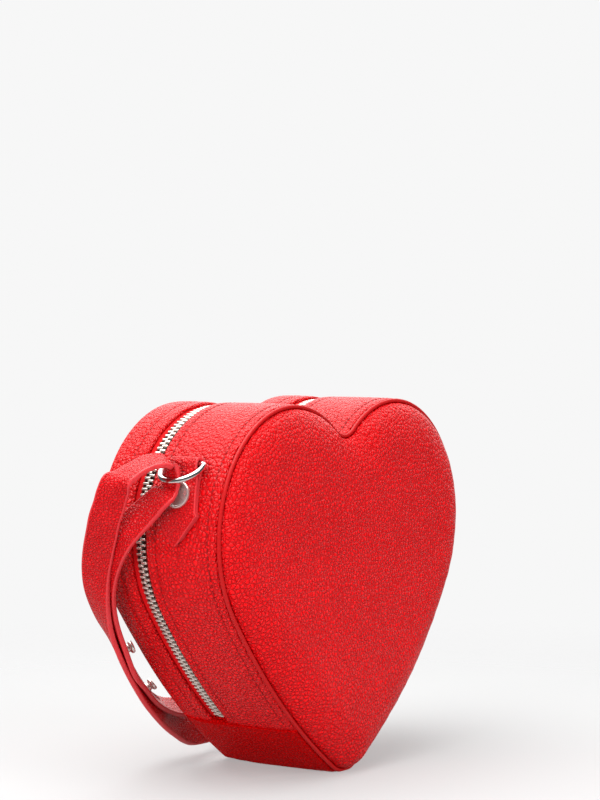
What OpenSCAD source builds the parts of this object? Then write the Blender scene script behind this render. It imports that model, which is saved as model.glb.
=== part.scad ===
// Heart shaped zip purse. Millimetres, front face towards -Y, resting on the flat under its tip.

/* [Bag outline] */
// Width over the two lobes
bag_w = 200; // [192:0.5:208]
// Depth from the front seam to the back seam
bag_d = 62; // [58:0.5:70]
// Radius of each lobe
lobe_r = 57.3; // [56:0.1:59]
// Height of the lobe centres above the base
lobe_z = 112.4; // [110:0.2:116]
// Radius of the tip
tip_r = 17.8; // [17:0.1:19]
// Radius of the long flanks
flank_r = 305; // [290:1:320]
// Radius of the fillet between the lobes
notch_r = 11.4; // [10.5:0.1:12.5]
// Depth of the flat that the bag's weight presses under the tip
base_cut = 0.8; // [0.6:0.1:1.2]
// Height of the seam between the zip bands and the bottom gusset
seam_z = 26.4; // [25:0.1:28]

/* [Leather] */
// Thickness of the zip bands
band_t = 1.8; // [1.4:0.1:2]
// Thickness of the front and back panels
panel_t = 1.8; // [1.4:0.1:2.2]
// How far the bottom gusset stands over the bands
gusset_over = 0.8; // [0.5:0.1:1.2]
// Thickness of the lining cloth
lining_t = 0.4; // [0.3:0.1:0.6]
// Radius of the piping round the front seam
piping_r = 1.6; // [1.3:0.1:1.9]
// How far the piping centre lies inside the outline
piping_in = 0.4; // [0.2:0.1:0.8]
// How far the piping sits back over the front seam
piping_back = 1; // [0.6:0.1:1.2]

/* [Panel crowns] */
// Height of the front panel's rounded edge
front_edge_h = 7; // [5:0.2:9]
// Further rise of the front panel to its middle
front_crown_h = 3; // [1:0.2:5]
// Height of the back panel's rounded edge
back_edge_h = 4; // [2.5:0.1:5]
// Further rise of the back panel to its middle
back_crown_h = 2; // [1:0.1:3]
// Width of the rounded edge
edge_w = 12; // [9:0.5:15]
// Distance from the edge over which the crown rises
crown_w = 50; // [40:1:60]
// Depth of the valley under the notch
valley_h = 2.4; // [0:0.2:3]
// Half width of the valley
valley_w = 12; // [8:0.5:18]
// Length over which the valley fades
valley_l = 20; // [12:0.5:30]

/* [Zip] */
// Distance of the zip's middle behind the bag's middle
zip_y = 11.2; // [9:0.1:12.5]
// From the zip's middle to the edge of the front band
zip_gap_front = 4; // [3.9:0.1:4.6]
// From the zip's middle to the edge of the back band
zip_gap_back = 6.2; // [5:0.1:7]
// Pitch of the teeth in one row
tooth_pitch = 2.4; // [2.3:0.05:3]
// Thickness of a tooth along the row
tooth_t = 1.04; // [0.8:0.02:1.08]
// Height of a tooth through the tape
tooth_h = 2.2; // [1.6:0.1:2.4]
// From the zip's middle to the outer end of a tooth
tooth_leg = 2.5; // [2:0.1:2.8]
// How far a tooth reaches past the zip's middle
tooth_reach = 0.9; // [0.5:0.1:1.2]
// Thickness of the tape
tape_t = 0.6; // [0.4:0.1:0.7]
// Width of tape sewn under each band
tape_under = 6; // [4:0.5:8]

/* [Slider and puller] */
// Length of the slider
slider_l = 9; // [8:0.5:11]
// Width of the slider
slider_w = 7.2; // [6.8:0.1:7.2]
// Thickness of the slider's two plates
slider_t = 1.1; // [0.8:0.1:1.2]
// Height of the slider's middle when the zip is closed
slider_z = 34; // [33:0.5:38]
// Length of the puller from its pin
puller_l = 24; // [18:0.5:26]
// Width of the puller
puller_w = 6; // [5:0.5:7]
// Thickness of the puller
puller_t = 1.4; // [1:0.1:1.6]

/* [Tabs and rings] */
// Middle of the tabs in the bag's depth, in front of the bag's middle
tab_y = 10.1; // [9:0.1:11]
// Width of a tab
tab_w = 19; // [17:0.5:20]
// Thickness of one layer of a tab
tab_t = 1.5; // [1.2:0.1:1.8]
// Angle of the ring's bar round the lobe, above level
ring_angle = 33; // [30:0.5:36]
// Radius of the ring's bow to the middle of its wire
ring_r = 10; // [9.5:0.1:11]
// Diameter of the ring's bar
wire_d = 2.7; // [2.4:0.1:3]
// Diameter of the ring's bow, a little thinner than the bar it runs into
bow_d = 2.6; // [2.3:0.1:2.9]
// From the ring's bar to the middle of its bow
bow_in = 3.6; // [3:0.1:4.5]
// How far the ring droops below level
ring_droop = 30; // [25:1:35]
// Diameter of the stud that holds a tab
stud_d = 12; // [9:0.5:13]
// Length of a tab from its roll to the shoulders of its point
tab_l = 22; // [20:0.5:25]
// Length of a tab's point
tab_point = 13; // [10:0.5:15]

/* [Strap] */
// Width of the strap
strap_w = 14; // [13:0.1:14]
// Thickness of the strap
strap_t = 2.4; // [2:0.1:2.6]
// Diameter of the heads of the strap's studs
knob_d = 5; // [4:0.1:6]
// How far the studs' heads stand off the strap
knob_h = 3.2; // [2.5:0.1:4]

/* [Hidden] */

// Clearance between layers that are sewn together, and between pieces that move
fit = 0.15;
gap = 0.3;
// Overrun of every cut
over = 1;
$fa = 1.5;
$fs = 0.3;

leather = "#c8141e";
lining_red = "#8c1820";
foam = "#e8e2d0";
silver = "#c9c9c6";

function unit(v) = v / norm(v);
function angle_of(v) = atan2(v[1], v[0]);
function polar(c, r, a) = c + r * [cos(a), sin(a)];

// The half outline is four arcs that meet tangent: tip, flank, lobe and notch, each [centre, radius]
half_d = bag_d / 2;
lobe_x = bag_w / 2 - lobe_r;
lobe_c = [lobe_x, lobe_z];
tip_c = [0, tip_r - base_cut];
tip_to_lobe = norm(lobe_c - tip_c);
along = ((flank_r - lobe_r) ^ 2 - (flank_r - tip_r) ^ 2 + tip_to_lobe ^ 2) / (2 * tip_to_lobe);
away = sqrt((flank_r - lobe_r) ^ 2 - along ^ 2);
down = unit(tip_c - lobe_c);
flank_c = lobe_c + down * along + [down[1], -down[0]] * away;
notch_c = [0, lobe_z + sqrt((lobe_r + notch_r) ^ 2 - lobe_x ^ 2)];
tip_angle = angle_of(tip_c - flank_c);
lobe_angle = angle_of(lobe_c - flank_c);
top_angle = angle_of(notch_c - lobe_c);
dip_angle = angle_of(lobe_c - notch_c);
bag_h = lobe_z + lobe_r;

module half_wedge(reach) {
    polygon([tip_c, polar(flank_c, reach, tip_angle), polar(flank_c, reach, lobe_angle), lobe_c,
        [0, lobe_z]]);
}

// The heart, grown outwards by a distance, or drawn in when it is negative
module heart(grow = 0) {
    difference() {
        union() {
            translate(tip_c) circle(r = tip_r + grow);
            for (side = [0, 1]) mirror([side, 0]) {
                translate(lobe_c) circle(r = lobe_r + grow);
                intersection() {
                    translate(flank_c) circle(r = flank_r + grow);
                    half_wedge(flank_r + tip_r);
                }
            }
            polygon([lobe_c, polar(lobe_c, lobe_r + grow, top_angle),
                polar([-lobe_x, lobe_z], lobe_r + grow, 180 - top_angle), [-lobe_x, lobe_z]]);
        }
        translate(notch_c) circle(r = notch_r - grow);
    }
}

// A slice of the heart between two depths
module slab(grow, y0, y1) {
    translate([0, y1, 0]) rotate([90, 0, 0]) linear_extrude(y1 - y0) heart(grow);
}

module above(z) {
    translate([-bag_w, -bag_w, z]) cube([2 * bag_w, 2 * bag_w, 2 * bag_h]);
}

module below(z) {
    translate([-bag_w, -bag_w, z - 2 * bag_h]) cube([2 * bag_w, 2 * bag_w, 2 * bag_h]);
}

// A strip that runs round the heart, between two distances from the outline
module strip(outer, inner, y0, y1) {
    difference() {
        slab(outer, y0, y1);
        slab(inner, y0 - over, y1 + over);
    }
}

// Points round the outline as [x, z, outward x, outward z], counterclockwise from the tip
tip_steps = 4;
flank_steps = 7;
lobe_steps = 15;
notch_steps = 3;
function arc_run(c, r, a0, a1, n, out) = [for (i = [0:n - 1]) let (a = a0 + (a1 - a0) * i / n)
    concat(polar(c, r, a), out * [cos(a), sin(a)])];
function half_outline(grow) = concat(
    arc_run(tip_c, tip_r + grow, -90, tip_angle, tip_steps, 1),
    arc_run(flank_c, flank_r + grow, tip_angle, lobe_angle, flank_steps, 1),
    arc_run(lobe_c, lobe_r + grow, lobe_angle, top_angle, lobe_steps, 1),
    arc_run(notch_c, notch_r - grow, dip_angle, -90, notch_steps, -1),
    [[0, notch_c[1] - notch_r + grow, 0, 1]]);
function outline(grow) = let (h = half_outline(grow), n = len(h))
    concat(h, [for (i = [n - 2:-1:1]) [-h[i][0], h[i][1], -h[i][2], h[i][3]]]);

// The crown of a panel: a rounded edge, a slow rise, and a valley that runs down from the notch
middle = [0, lobe_z * 0.85];
notch_z = notch_c[1] - notch_r;
function crown(d, x, z, edge_h, crown_h) =
    edge_h * sqrt(1 - (1 - min(d / edge_w, 1)) ^ 2) + crown_h * sin(90 * min(d / crown_w, 1))
    - valley_h * min(d / edge_w, 1) * exp(-(x / valley_w) ^ 2)
        * exp(-max(notch_z - z, 0) / valley_l);
function crown_row(grow, share, edge_h, crown_h, y0, side) = [for (p = outline(grow))
    let (o = [p[0], p[1]], q = middle + (o - middle) * (1 - share),
        d = share * (o - middle) * [p[2], p[3]])
    [q[0], y0 + side * crown(d, q[0], q[1], edge_h, crown_h), q[1]]];
function ring_faces(a, b, n) = [for (i = [0:n - 1]) let (j = (i + 1) % n)
    each [[a + i, a + j, b + j], [a + i, b + j, b + i]]];
function fan_faces(a, c, n) = [for (i = [0:n - 1]) [a + i, a + (i + 1) % n, c]];
function flip(faces) = [for (f = faces) [f[2], f[1], f[0]]];
row_shares = [0, 0.02, 0.06, 0.12, 0.2, 0.42, 0.7];

// A panel of even thickness with its crown towards side, -1 to the front and 1 to the back
module crowned_panel(grow, edge_h, crown_h, seam_y, side) {
    n = len(outline(grow));
    rows = len(row_shares);
    rise = edge_h + crown_h;
    skin = concat(
        [for (p = outline(grow)) [p[0], seam_y - side * panel_t, p[1]]],
        [for (s = row_shares) each crown_row(grow, s, edge_h, crown_h, seam_y, side)],
        [[middle[0], seam_y + side * rise, middle[1]]]);
    under = concat(
        [for (s = row_shares) each crown_row(grow - panel_t, s, edge_h, crown_h,
            seam_y - side * panel_t, side)],
        [[middle[0], seam_y + side * (rise - panel_t), middle[1]]]);
    base = len(skin);
    faces = concat(
        [for (r = [0:rows - 1]) each ring_faces(r * n, (r + 1) * n, n)],
        fan_faces(rows * n, base - 1, n),
        flip([for (r = [0:rows - 2]) each ring_faces(base + r * n, base + (r + 1) * n, n)]),
        flip(fan_faces(base + (rows - 1) * n, base + len(under) - 1, n)),
        flip(ring_faces(0, base, n)));
    polyhedron(concat(skin, under), side < 0 ? flip(faces) : faces, convexity = 6);
}

// The foam under a panel: the panel's own crown on a flat base
module crowned_foam(grow, edge_h, crown_h, top_y, base_y, side) {
    n = len(outline(grow));
    shares = [for (i = [2:len(row_shares) - 1]) row_shares[i]];
    rows = len(shares);
    points = concat(
        [for (s = shares) each crown_row(grow, s, edge_h, crown_h, top_y, side)],
        [[middle[0], top_y + side * (edge_h + crown_h), middle[1]]],
        [for (p = crown_row(grow, shares[0], 0, 0, base_y, 0)) [p[0], base_y, p[2]]],
        [[middle[0], base_y, middle[1]]]);
    base = rows * n + 1;
    faces = concat(
        [for (r = [0:rows - 2]) each ring_faces(r * n, (r + 1) * n, n)],
        fan_faces((rows - 1) * n, rows * n, n),
        flip(ring_faces(0, base, n)),
        flip(fan_faces(base, base + n, n)));
    polyhedron(points, side < 0 ? flip(faces) : faces, convexity = 4);
}

front_y = -half_d;
back_y = half_d;
panel_in = -(piping_in + piping_r + fit / 2);
rim_y = half_d - panel_t;

module front_panel() {
    color(leather) crowned_panel(panel_in, front_edge_h, front_crown_h, front_y, -1);
}

module front_padding() {
    color(foam) crowned_foam(panel_in - panel_t, front_edge_h, front_crown_h,
        -rim_y + fit, -rim_y + fit, -1);
}

lining_in = -(band_t + 2 * fit + tape_t + fit);
module lining_sheet(y0, y1) {
    slab(panel_in - fit, y0, y1);
}

module front_lining() {
    color(lining_red) lining_sheet(-rim_y + 2 * fit, -rim_y + 2 * fit + lining_t);
}

// Piping: a cord in a leather sleeve, bent round the seam as seven arcs
module bend(c, r, a0, a1) {
    translate([c[0], 0, c[1]]) rotate([90, 0, 0])
        rotate([0, 0, a0]) rotate_extrude(angle = a1 - a0) translate([r, 0]) circle(r = piping_r);
}

module front_piping() {
    color(leather) translate([0, front_y + piping_back - piping_r, 0]) intersection() {
        union() {
            bend(tip_c, tip_r - piping_in, 180 - tip_angle, 360 + tip_angle);
            for (side = [0, 1]) mirror([side, 0, 0]) {
                bend(flank_c, flank_r - piping_in, tip_angle, lobe_angle);
                bend(lobe_c, lobe_r - piping_in, lobe_angle, top_angle);
            }
            bend(notch_c, notch_r + piping_in, 180 - dip_angle, 360 + dip_angle);
        }
        above(0);
    }
}

front_band_y0 = front_y + piping_back + fit;
front_band_y1 = zip_y - zip_gap_front;
back_band_y0 = zip_y + zip_gap_back;
back_band_y1 = back_y;

module front_zip_band() {
    color(leather) intersection() {
        strip(0, -band_t, front_band_y0, front_band_y1);
        above(seam_z + fit / 2);
    }
}

module back_zip_band() {
    color(leather) intersection() {
        strip(0, -band_t, back_band_y0, back_band_y1);
        above(seam_z + gap);
    }
}

module bottom_gusset() {
    color(leather) intersection() {
        strip(gusset_over, -band_t, front_band_y0, back_band_y1);
        below(seam_z - fit / 2);
        above(0);
    }
}

band_lining_y0 = -rim_y + 3 * fit + lining_t;
module front_band_lining() {
    color(lining_red) intersection() {
        strip(lining_in, lining_in - lining_t, band_lining_y0, front_band_y1);
        above(seam_z + fit / 2);
    }
}

module back_band_lining() {
    color(lining_red) intersection() {
        strip(lining_in, lining_in - lining_t, back_band_y0, -band_lining_y0);
        above(seam_z + gap);
    }
}

module bottom_lining() {
    color(lining_red) intersection() {
        strip(lining_in, lining_in - lining_t, band_lining_y0, -band_lining_y0);
        below(seam_z - fit / 2);
    }
}

// Zip: two tapes with a row of teeth on each
tape_out = -(band_t + 2 * fit);
chain_in = tape_out - tape_t / 2;
tape_tuck = 4;

module front_zip_tape() {
    color(leather) intersection() {
        strip(tape_out, tape_out - tape_t, front_band_y1 - tape_under, zip_y - tooth_leg);
        above(seam_z - tape_tuck);
    }
}

module back_zip_tape() {
    color(leather) intersection() {
        strip(tape_out, tape_out - tape_t, zip_y + tooth_leg, back_band_y0 + tape_under);
        above(seam_z + gap);
    }
}

// A tooth seen along its height: a leg clamped on the tape and a head that narrows to its end
tooth_neck_share = 0.45;
tooth_nose_share = 0.6;
module tooth() {
    half = tooth_t / 2;
    neck = tooth_reach * tooth_neck_share;
    nose = half * tooth_nose_share;
    translate([0, 0, -tooth_h / 2]) linear_extrude(tooth_h) polygon([[-half, -tooth_leg],
        [half, -tooth_leg], [half, neck], [nose, tooth_reach], [-nose, tooth_reach], [-half, neck]]);
}

// Place and turn of a tooth at a distance along the chain from the middle of the notch
per_degree = PI / 180;
dip_run = (notch_r - chain_in) * (90 + dip_angle) * per_degree;
lobe_run = (lobe_r + chain_in) * (top_angle - lobe_angle) * per_degree;
end_angle = asin((seam_z + tooth_pitch - flank_c[1]) / (flank_r + chain_in));
flank_run = (flank_r + chain_in) * (lobe_angle - end_angle) * per_degree;
chain_run = dip_run + lobe_run + flank_run;
function on_arc(c, r, a, turn) = [polar(c, r, a)[0], polar(c, r, a)[1], turn];
function chain_place(s) =
    s < dip_run
        ? let (a = -90 + s / ((notch_r - chain_in) * per_degree))
            on_arc(notch_c, notch_r - chain_in, a, a + 180)
    : s < dip_run + lobe_run
        ? let (a = top_angle - (s - dip_run) / ((lobe_r + chain_in) * per_degree))
            on_arc(lobe_c, lobe_r + chain_in, a, a)
        : let (a = lobe_angle - (s - dip_run - lobe_run) / ((flank_r + chain_in) * per_degree))
            on_arc(flank_c, flank_r + chain_in, a, a);

module place_tooth(s, row) {
    p = chain_place(abs(s));
    mirror([s < 0 ? 1 : 0, 0, 0]) translate([p[0], zip_y, p[1]])
        rotate([0, 90 - p[2], 0]) mirror([0, row, 0]) tooth();
}

half_teeth = floor(chain_run / tooth_pitch - 0.5);
// On the right the rows end inside the slider, which holds them apart
slider_angle = asin((slider_z - flank_c[1]) / (flank_r + chain_in));
slider_run = dip_run + lobe_run + (flank_r + chain_in) * (lobe_angle - slider_angle) * per_degree;
right_teeth = floor((slider_run - tooth_pitch) / tooth_pitch);
module front_teeth() {
    color(silver) for (i = [-half_teeth:right_teeth - 1]) place_tooth((i + 0.5) * tooth_pitch, 0);
}

module back_teeth() {
    color(silver) for (i = [-half_teeth + 1:right_teeth - 1]) place_tooth(i * tooth_pitch, 1);
}

// Slider, drawn with +X up the zip, +Z out of the bag, and set on the right flank
plate_z = tooth_h / 2 + gap;
pin_r = 0.7;
bridge_t = 0.9;
bridge_w = 1.6;
bridge_share = 0.7;
bridge_l = slider_l * bridge_share;
bridge_h = 2 * pin_r + 2 * gap + bridge_t;
pin_z = plate_z + slider_t + gap + pin_r;
wedge_w = 1.5;
wedge_l = 2.2;
wedge_in = 0.4;
shoulder_share = 0.22;
shoulder = slider_w * shoulder_share;

module on_flank() {
    p = polar(flank_c, flank_r + chain_in, slider_angle);
    translate([p[0], zip_y, p[1]]) rotate([0, -slider_angle, 0]) rotate([0, 90, 0])
        rotate([0, 0, 180]) children();
}

module plate(z0) {
    translate([0, 0, z0]) linear_extrude(slider_t) polygon([
        [-slider_l / 2, -slider_w / 2 + shoulder], [-slider_l / 2 + shoulder, -slider_w / 2],
        [slider_l / 2 - shoulder, -slider_w / 2], [slider_l / 2, -slider_w / 2 + shoulder],
        [slider_l / 2, slider_w / 2 - shoulder], [slider_l / 2 - shoulder, slider_w / 2],
        [-slider_l / 2 + shoulder, slider_w / 2], [-slider_l / 2, slider_w / 2 - shoulder]]);
}

lip_w = 0.8;
lip_h = plate_z - tape_t / 2 - gap;
lip_l = slider_l - 2 * shoulder;
module lips(z0) {
    for (side = [-1, 1])
        translate([-lip_l / 2, side * (slider_w - lip_w) / 2 - lip_w / 2, z0])
            cube([lip_l, lip_w, lip_h]);
}

module bridge() {
    rotate([90, 0, 0]) translate([0, 0, -bridge_w / 2]) linear_extrude(bridge_w) difference() {
        translate([-bridge_l / 2, plate_z + slider_t]) square([bridge_l, bridge_h]);
        translate([-bridge_l / 2 + bridge_t, plate_z + slider_t - over])
            square([bridge_l - 2 * bridge_t, over + bridge_h - bridge_t]);
    }
}

module zip_slider() {
    color(silver) on_flank() union() {
        plate(plate_z);
        plate(-plate_z - slider_t);
        lips(plate_z - lip_h);
        lips(-plate_z);
        bridge();
        translate([-slider_l / 2 + wedge_in, -wedge_w / 2, -plate_z])
            cube([wedge_l, wedge_w, 2 * plate_z]);
    }
}

// Puller, hanging straight down from the pin under the bridge. Its slot is long enough for the
// bridge's corner to pass as the puller swings up
slot_l = norm([bridge_l / 2, bridge_h - gap - pin_r]) + 2 * gap;
eye_share = 0.4;
module puller_plate() {
    eye_x = puller_l - slot_l - puller_w / 2;
    linear_extrude(puller_t) difference() {
        union() {
            translate([0, -puller_w / 2]) square([eye_x, puller_w]);
            translate([eye_x, 0]) circle(d = puller_w);
        }
        translate([eye_x, 0]) circle(d = puller_w * eye_share);
    }
}

module zip_puller() {
    p = polar(flank_c, flank_r + chain_in + pin_z, slider_angle);
    rail = (puller_w - bridge_w - 2 * gap) / 2;
    color(silver) translate([p[0], zip_y, p[1]]) union() {
        translate([0, puller_w / 2, 0]) rotate([90, 0, 0]) cylinder(r = pin_r, h = puller_w);
        for (side = [-1, 1]) translate([-pin_r, side * (puller_w - rail) / 2 - rail / 2, -slot_l])
            cube([puller_t, rail, slot_l]);
        translate([-pin_r, 0, -slot_l]) rotate([0, 90, 0]) puller_plate();
    }
}

// Parts of the back: a fixed foot below the seam's height, and the lid that folds away above it
back_panel_in = -(band_t + 2 * fit);

module back_crown() {
    crowned_panel(back_panel_in, back_edge_h, back_crown_h, back_y, 1);
}

module back_panel_foot() {
    color(leather) intersection() {
        back_crown();
        below(seam_z - fit / 2);
    }
}

module back_panel() {
    color(leather) intersection() {
        back_crown();
        above(seam_z + gap);
    }
}

module back_padding() {
    color(foam) intersection() {
        crowned_foam(back_panel_in - panel_t, back_edge_h, back_crown_h, rim_y - fit,
            rim_y - fit, 1);
        above(seam_z + gap);
    }
}

module back_lining() {
    color(lining_red) intersection() {
        lining_sheet(rim_y - 2 * fit - lining_t, rim_y - 2 * fit);
        above(seam_z + gap);
    }
}

// Slip pocket: a cloth patch sewn to the back lining along its sides and base
pocket_w = bag_w * 0.56;
pocket_h = bag_h * 0.42;
pocket_low_w = pocket_w * 0.62;
pocket_z = seam_z + bag_h * 0.2;
module slip_pocket() {
    y = rim_y - 2 * fit - lining_t;
    color(lining_red) translate([0, y, pocket_z]) rotate([90, 0, 0]) linear_extrude(lining_t)
        polygon([[-pocket_low_w / 2, 0], [pocket_low_w / 2, 0], [pocket_w / 2, pocket_h * 0.5],
            [pocket_w / 2, pocket_h], [-pocket_w / 2, pocket_h], [-pocket_w / 2, pocket_h * 0.5]]);
}

// Tabs, drawn on the right lobe: leather led round the ring's bar and back on itself
bore_r = wire_d / 2 + gap;
roll_r = bore_r + tab_t;
tab_r0 = lobe_r + fit;
tab_r1 = tab_r0 + 2 * tab_t;
bar = polar(lobe_c, tab_r0 + roll_r, ring_angle);
bow_angle = acos(-bow_in / ring_r);
bar_half = ring_r * sin(bow_angle);
neck_half = bar_half - wire_d / 2 - 2 * gap;
neck_down = 4;
full_down = 7;
stud_down = 13.8;
nose_share = 0.06;
// The two layers part above the stud and run up to the roll
part_down = stud_down - stud_d / 2 - gap;
function lobe_deg(s) = ring_angle - s / (lobe_r * per_degree);
function lobe_height(s) = lobe_z + tab_r1 * sin(lobe_deg(s));

module tab_profile() {
    slope = polar(lobe_c, tab_r1, lobe_deg(part_down));
    reach = norm(slope - bar);
    turn = angle_of(slope - bar) + acos(roll_r / reach);
    difference() {
        union() {
            intersection() {
                difference() {
                    translate(lobe_c) circle(r = tab_r1);
                    translate(lobe_c) circle(r = tab_r0);
                }
                polygon([lobe_c, polar(lobe_c, bag_w, lobe_deg(tab_l + 2 * tab_point)),
                    polar(lobe_c, bag_w, ring_angle)]);
            }
            polygon([polar(lobe_c, tab_r0 + tab_t, lobe_deg(part_down)), slope,
                polar(bar, roll_r, turn), bar]);
            translate(bar) circle(r = roll_r);
        }
        translate(bar) circle(r = bore_r);
    }
}

module tab() {
    half = tab_w / 2;
    nose = tab_w * nose_share;
    top = bar[1] + 2 * roll_r;
    color(leather) intersection() {
        translate([0, half, 0]) rotate([90, 0, 0]) linear_extrude(tab_w) tab_profile();
        rotate([90, 0, 90]) linear_extrude(bag_w) polygon([[-neck_half, top],
            [-neck_half, lobe_height(neck_down)], [-half, lobe_height(full_down)],
            [-half, lobe_height(tab_l)], [-nose, lobe_height(tab_l + tab_point)],
            [nose, lobe_height(tab_l + tab_point)], [half, lobe_height(tab_l)],
            [half, lobe_height(full_down)], [neck_half, lobe_height(neck_down)],
            [neck_half, top]]);
    }
}

module right_tab() {
    translate([0, -tab_y, 0]) tab();
}

module left_tab() {
    mirror([1, 0, 0]) right_tab();
}

// Round stud with a plain middle inside a raised rim
stud_h = 0.7;
rim_r = 0.4;
module stud() {
    difference() {
        union() {
            cylinder(d = stud_d, h = stud_h);
            translate([0, 0, stud_h]) rotate_extrude() translate([stud_d / 2 - rim_r, 0])
                circle(r = rim_r);
        }
        translate([0, 0, stud_h - rim_r / 2]) cylinder(d = stud_d - 5 * rim_r, h = over);
    }
}

module tab_studs() {
    p = polar(lobe_c, tab_r1 + gap / 3, lobe_deg(stud_down));
    color(silver) for (side = [0, 1]) mirror([side, 0, 0])
        translate([p[0], -tab_y, p[1]]) rotate([0, 90 - lobe_deg(stud_down), 0]) stud();
}

// Ring: a straight bar held by the tab, closed by a round bow
module ring() {
    color(silver) translate([bar[0], -tab_y, bar[1]]) rotate([0, ring_droop, 0]) union() {
        translate([0, bar_half + wire_d / 2, 0]) rotate([90, 0, 0])
            cylinder(d = wire_d, h = 2 * bar_half + wire_d);
        translate([bow_in, 0, 0]) rotate([0, 0, -bow_angle]) rotate_extrude(angle = 2 * bow_angle)
            translate([ring_r, 0]) circle(d = bow_d);
    }
}

module right_ring() {
    ring();
}

module left_ring() {
    mirror([1, 0, 0]) ring();
}

// Strap: from its left end up through the left ring, down behind the bag, and the same on the right.
// Each row is a place on the left half: its distance out as a share of the ring's bow round the ring,
// and of the bag's half width at that height elsewhere, then shares of the bag's depth and the bow's
// height, the direction across the strap, and the share of its full width.
route_shares = [
    [1.053, 0.868, 0.18, 0.06, 0.84, 0.54, 1], [1.124, 0.796, 0.237, 0.16, 0.8, 0.58, 1],
    [1.149, 0.728, 0.304, 0.28, 0.76, 0.59, 1], [1.142, 0.67, 0.381, 0.43, 0.7, 0.57, 1],
    [1.124, 0.642, 0.465, 0.48, 0.72, 0.5, 1], [1.105, 0.639, 0.556, 0.33, 0.88, 0.35, 1],
    [1.101, 0.598, 0.646, 0, 0.94, 0.34, 1], [1.117, 0.489, 0.737, -0.18, 0.85, 0.5, 1],
    [1.132, 0.341, 0.823, -0.09, 0.75, 0.65, 1], [1.042, 0.176, 0.9, 0.2, 0.72, 0.67, 0.97],
    [1.032, 0.119, 0.925, 0.24, 0.71, 0.66, 0.94], [1.027, 0.081, 0.942, 0.28, 0.72, 0.64, 0.91],
    [1.016, 0.048, 0.956, 0.29, 0.76, 0.58, 0.88], [0.992, 0.024, 0.963, 0.27, 0.9, 0.34, 0.85],
    [0.972, 0.01, 0.976, 0.11, 0.98, 0.16, 0.81], [0.957, 0.003, 0.996, 0.04, 1, 0.06, 0.78],
    [0.955, 0, 1.016, -0.02, 1, 0.04, 0.77], [0.967, 0.002, 1.037, 0.12, 0.98, -0.15, 0.8],
    [0.984, 0.022, 1.051, 0.57, 0.81, -0.16, 0.85], [1.005, 0.054, 1.06, 0.71, 0.7, 0.03, 0.91],
    [1.024, 0.089, 1.068, 0.78, 0.58, 0.23, 0.95], [1.041, 0.128, 1.066, 0.63, 0.67, 0.4, 0.98],
    [1.061, 0.161, 1.058, 0.41, 0.83, 0.37, 1], [1.102, 0.192, 1.046, 0.09, 0.88, 0.47, 1],
    [1.152, 0.228, 1.017, -0.15, 0.84, 0.52, 1], [1.165, 0.279, 0.973, -0.36, 0.83, 0.43, 1],
    [1.255, 0.327, 0.927, -0.45, 0.83, 0.34, 1], [1.228, 0.375, 0.882, -0.48, 0.81, 0.33, 1],
    [1.206, 0.427, 0.838, -0.48, 0.82, 0.31, 1], [1.18, 0.499, 0.776, -0.38, 0.87, 0.31, 1],
    [1.158, 0.57, 0.709, -0.19, 0.94, 0.29, 1], [1.153, 0.62, 0.639, 0.03, 0.96, 0.27, 1],
    [1.163, 0.653, 0.57, 0.27, 0.91, 0.31, 1], [1.186, 0.67, 0.504, 0.44, 0.81, 0.39, 1],
    [1.204, 0.686, 0.441, 0.48, 0.71, 0.51, 1], [1.222, 0.71, 0.382, 0.45, 0.69, 0.57, 1],
    [1.248, 0.745, 0.324, 0.36, 0.73, 0.58, 1], [1.266, 0.783, 0.272, 0.26, 0.77, 0.59, 1],
    [1.266, 0.822, 0.225, 0.18, 0.79, 0.58, 1], [1.247, 0.864, 0.183, 0.1, 0.82, 0.57, 1],
    [1.201, 0.908, 0.145, 0.04, 0.85, 0.52, 1], [1.127, 0.951, 0.109, -0.02, 0.9, 0.44, 1],
    [0.977, 0.992, 0.077, -0.08, 0.93, 0.36, 1], [0.629, 1.025, 0.054, -0.07, 0.96, 0.28, 1],
    [0, 1.037, 0.046, 0, 0.98, 0.22, 1]];
bow = bar + (bow_in + ring_r) * [cos(ring_droop), -sin(ring_droop)];
strap_clear = 0.1;
ring_rows = [9, 25];
half_rows = len(route_shares);
widest_z = polar(flank_c, flank_r, lobe_angle)[1];
function half_width(z) = z > widest_z ? lobe_x + sqrt(lobe_r ^ 2 - (z - lobe_z) ^ 2)
    : flank_c[0] + sqrt(flank_r ^ 2 - (z - flank_c[1]) ^ 2);
function strap_row(i) = let (left = i < half_rows, k = left ? i : 2 * half_rows - 2 - i,
    r = route_shares[k], side = left ? -1 : 1, z = r[2] * bow[1],
    x = r[0] * (k < ring_rows[0] || k > ring_rows[1] ? half_width(z) : bow[0]))
    [[side * x, r[1] * bag_d - tab_y, z], [-side * r[3], r[4], r[5]], r[6] * strap_w / 2];
strap_rows = [for (i = [0:2 * half_rows - 2]) strap_row(i)];
function strap_frame(i) = let (n = len(strap_rows), a = strap_rows[max(i - 1, 0)][0],
    b = strap_rows[min(i + 1, n - 1)][0], t = unit(b - a), w = strap_rows[i][1])
    [unit(w - (w * t) * t), cross(t, unit(w - (w * t) * t))];
function strap_corners(i) = let (f = strap_frame(i), w = f[0] * strap_rows[i][2],
    n = f[1] * strap_t / 2, p = strap_rows[i][0],
    low = p[2] - abs(w[2]) - abs(n[2]), c = p + [0, 0, max(0, strap_clear - low)])
    [c + w + n, c + w - n, c - w - n, c - w + n];

module strap() {
    n = len(strap_rows);
    points = [for (i = [0:n - 1]) each strap_corners(i)];
    faces = concat([[0, 1, 2, 3]], [for (i = [0:n - 2]) each flip(ring_faces(4 * i, 4 * i + 4, 4))],
        [[4 * n - 1, 4 * n - 2, 4 * n - 3, 4 * n - 4]]);
    color(leather) polyhedron(points, faces, convexity = 10);
}

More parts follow.
